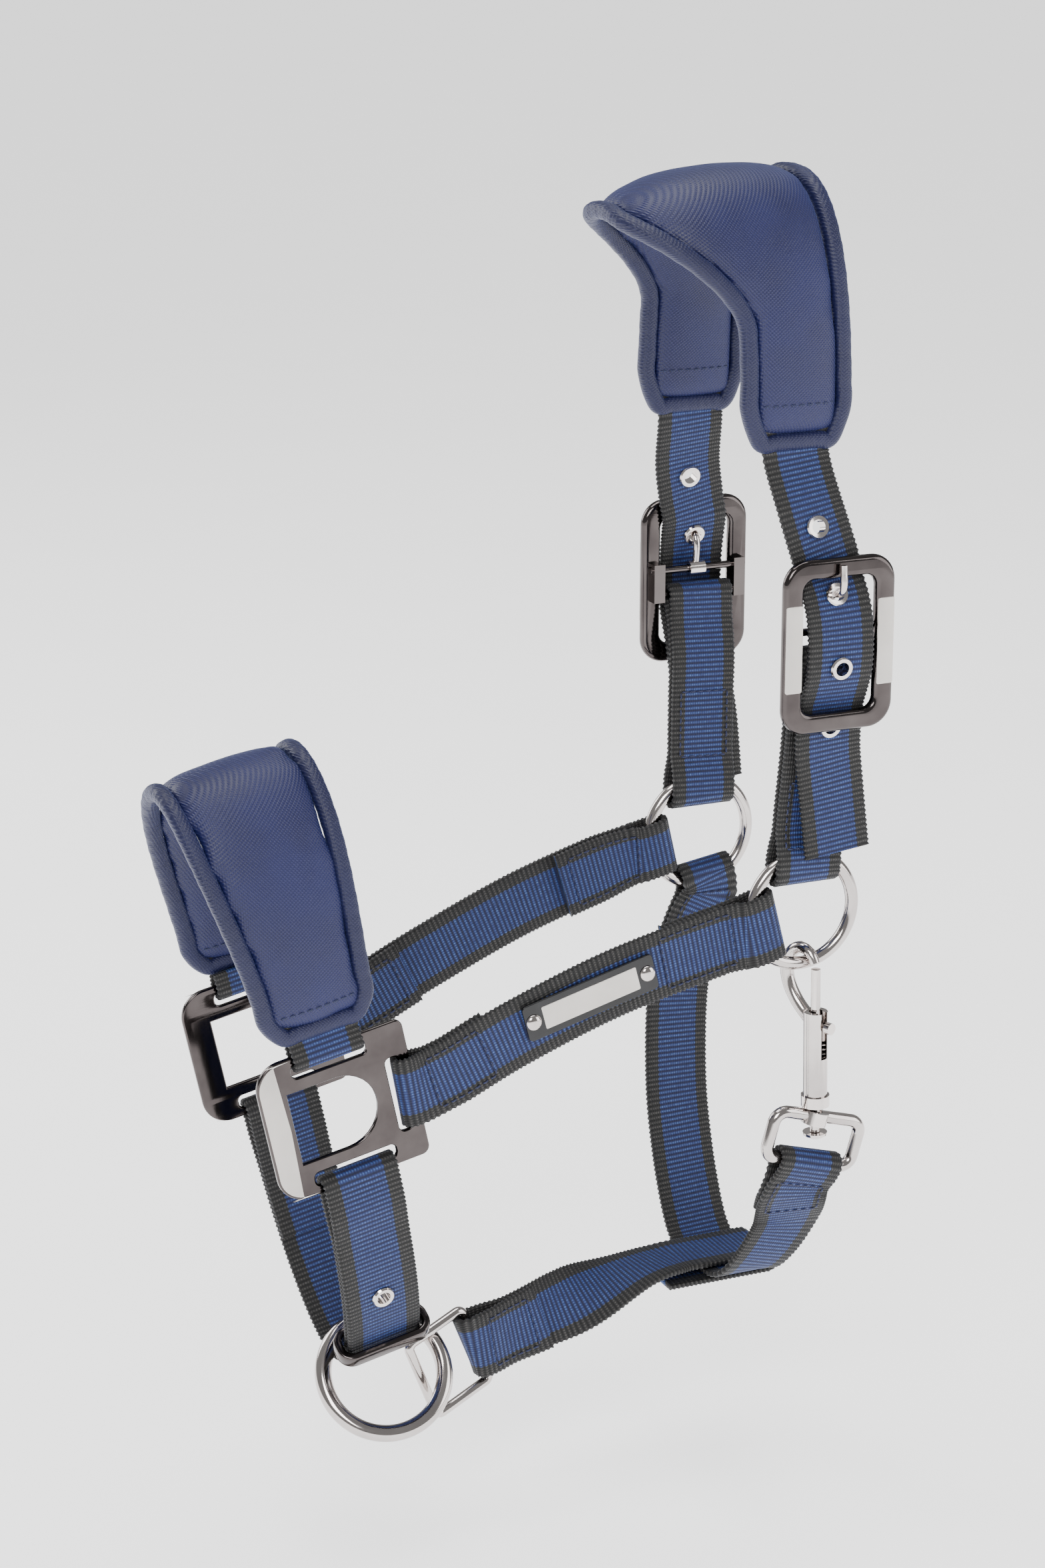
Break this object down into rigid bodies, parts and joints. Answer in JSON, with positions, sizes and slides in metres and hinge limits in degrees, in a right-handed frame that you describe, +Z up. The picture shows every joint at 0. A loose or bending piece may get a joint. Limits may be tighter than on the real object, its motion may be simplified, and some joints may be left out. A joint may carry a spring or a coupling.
{
  "type": "headcollar",
  "caption": "Horse headcollar of woven webbing with padded poll and nose sleeves, buckles, side plates, cheek rings, chin ring and bolt snap.",
  "frame": {"origin": "the poll seat, the inside of the crown pad at its top, in the collar's centre plane above the cheek rings", "axes": "+Z up, -X towards the nose, -Y the near (left) side"},
  "size_m": [0.2459, 0.12, 0.4338],
  "materials": {
    "webbing": "woven",
    "neoprene": "satin knit",
    "gunmetal": "dark polished",
    "chrome": "polished",
    "black_plate": "gloss",
    "spring_steel": "drawn wire"
  },
  "bodies": {
    "collar": {"crown_strap": "webbing", "near_chape": "webbing", "far_chape": "webbing", "near_cheek_strap": "webbing", "far_cheek_strap": "webbing", "nose_strap": "webbing", "chin_strap": "webbing", "throat_strap": "webbing", "connecting_strap": "webbing", "crown_pad": "neoprene", "nose_pad": "neoprene", "near_buckle_frame": "gunmetal", "far_buckle_frame": "gunmetal", "near_tongue_pin": "gunmetal", "far_tongue_pin": "gunmetal", "near_side_plate": "gunmetal", "far_side_plate": "gunmetal", "chin_keeper": "gunmetal", "snap_eye": "chrome", "nameplate_front_rivet": "chrome", "nameplate_rear_rivet": "chrome", "chin_upper_eyelet": "chrome", "chin_lower_eyelet": "chrome", "near_upper_eyelet": "chrome", "near_tongue_eyelet": "chrome", "near_lower_eyelet": "chrome", "near_last_eyelet": "chrome", "far_upper_eyelet": "chrome", "far_tongue_eyelet": "chrome", "far_lower_eyelet": "chrome", "far_last_eyelet": "chrome", "nameplate": "black_plate"},
    "near_ring": {"near_ring": "chrome"},
    "far_ring": {"far_ring": "chrome"},
    "near_tongue": {"near_tongue": "chrome"},
    "far_tongue": {"far_tongue": "chrome"},
    "snap_hook": {"snap_body": "chrome", "snap_rivet": "chrome", "snap_spring": "spring_steel"},
    "snap_plunger": {"snap_plunger": "chrome"},
    "lead_ring": {"lead_ring": "chrome"},
    "link_loop": {"link_loop": "chrome"}
  },
  "joints": [
    {"name": "near_ring_spin", "type": "hinge", "parent": "collar", "child": "near_ring", "pos_m": [0, -0.04, -0.24475], "axis": [0, 1, 0], "continuous": true},
    {"name": "far_ring_spin", "type": "hinge", "parent": "collar", "child": "far_ring", "pos_m": [0, 0.04, -0.23875], "axis": [0, 1, 0], "continuous": true},
    {"name": "near_tongue_hinge", "type": "hinge", "parent": "collar", "child": "near_tongue", "pos_m": [0.0029, -0.0509, -0.14265], "axis": [1, 0, 0], "range_deg": [0, 3]},
    {"name": "far_tongue_hinge", "type": "hinge", "parent": "collar", "child": "far_tongue", "pos_m": [0.0029, 0.0509, -0.14265], "axis": [-1, 0, 0], "range_deg": [0, 3]},
    {"name": "snap_swivel", "type": "hinge", "parent": "collar", "child": "snap_hook", "pos_m": [0.00447, -0.0452, -0.32108], "axis": [-0.02, 0, 0.9998], "range_deg": [-15, 12]},
    {"name": "plunger_slide", "type": "slide", "parent": "snap_hook", "child": "snap_plunger", "axis": [0.02, 0, -0.9998], "range_m": [0, 0.0075], "stiffness_N_per_m": 300, "springref_m": -0.003, "deforming": ["snap_spring"]},
    {"name": "lead_ring_swing", "type": "hinge", "parent": "collar", "child": "lead_ring", "pos_m": [-0.15005, 0.0025, -0.3893], "axis": [0.9781, 0, 0.2079], "range_deg": [-4, 2.5]},
    {"name": "link_loop_swing", "type": "hinge", "parent": "collar", "child": "link_loop", "pos_m": [-0.111, -0.01, -0.40125], "axis": [-0.36, 0, 0.933], "range_deg": [-4, 1]}
  ]
}
